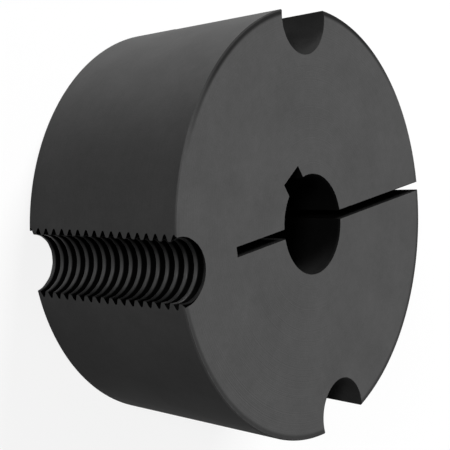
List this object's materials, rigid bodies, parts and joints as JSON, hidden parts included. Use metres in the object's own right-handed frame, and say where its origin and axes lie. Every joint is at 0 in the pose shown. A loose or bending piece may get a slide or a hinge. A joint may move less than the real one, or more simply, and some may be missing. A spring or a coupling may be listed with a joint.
{
  "type": "taper bush",
  "caption": "Split conical bush that clamps a pulley or sprocket hub on a keyed shaft, with plain screw half holes, a threaded jacking half hole and a saw-cut hinge slit.",
  "frame": {"origin": "on the axis of the shaft bore, in the plane of the small end that the bush stands on", "axes": "+Z along the bore from the small end up to the large end; +X from the bore out through the full split; the hinge slit and the threaded half hole are on the -X side"},
  "size_m": [0.0695, 0.0696, 0.0318],
  "materials": {
    "black_cast_iron": "fine-turned grey cast iron with a dark, dull phosphate coat"
  },
  "bodies": {
    "root": {"taper_bush": "black_cast_iron"}
  },
  "joints": []
}
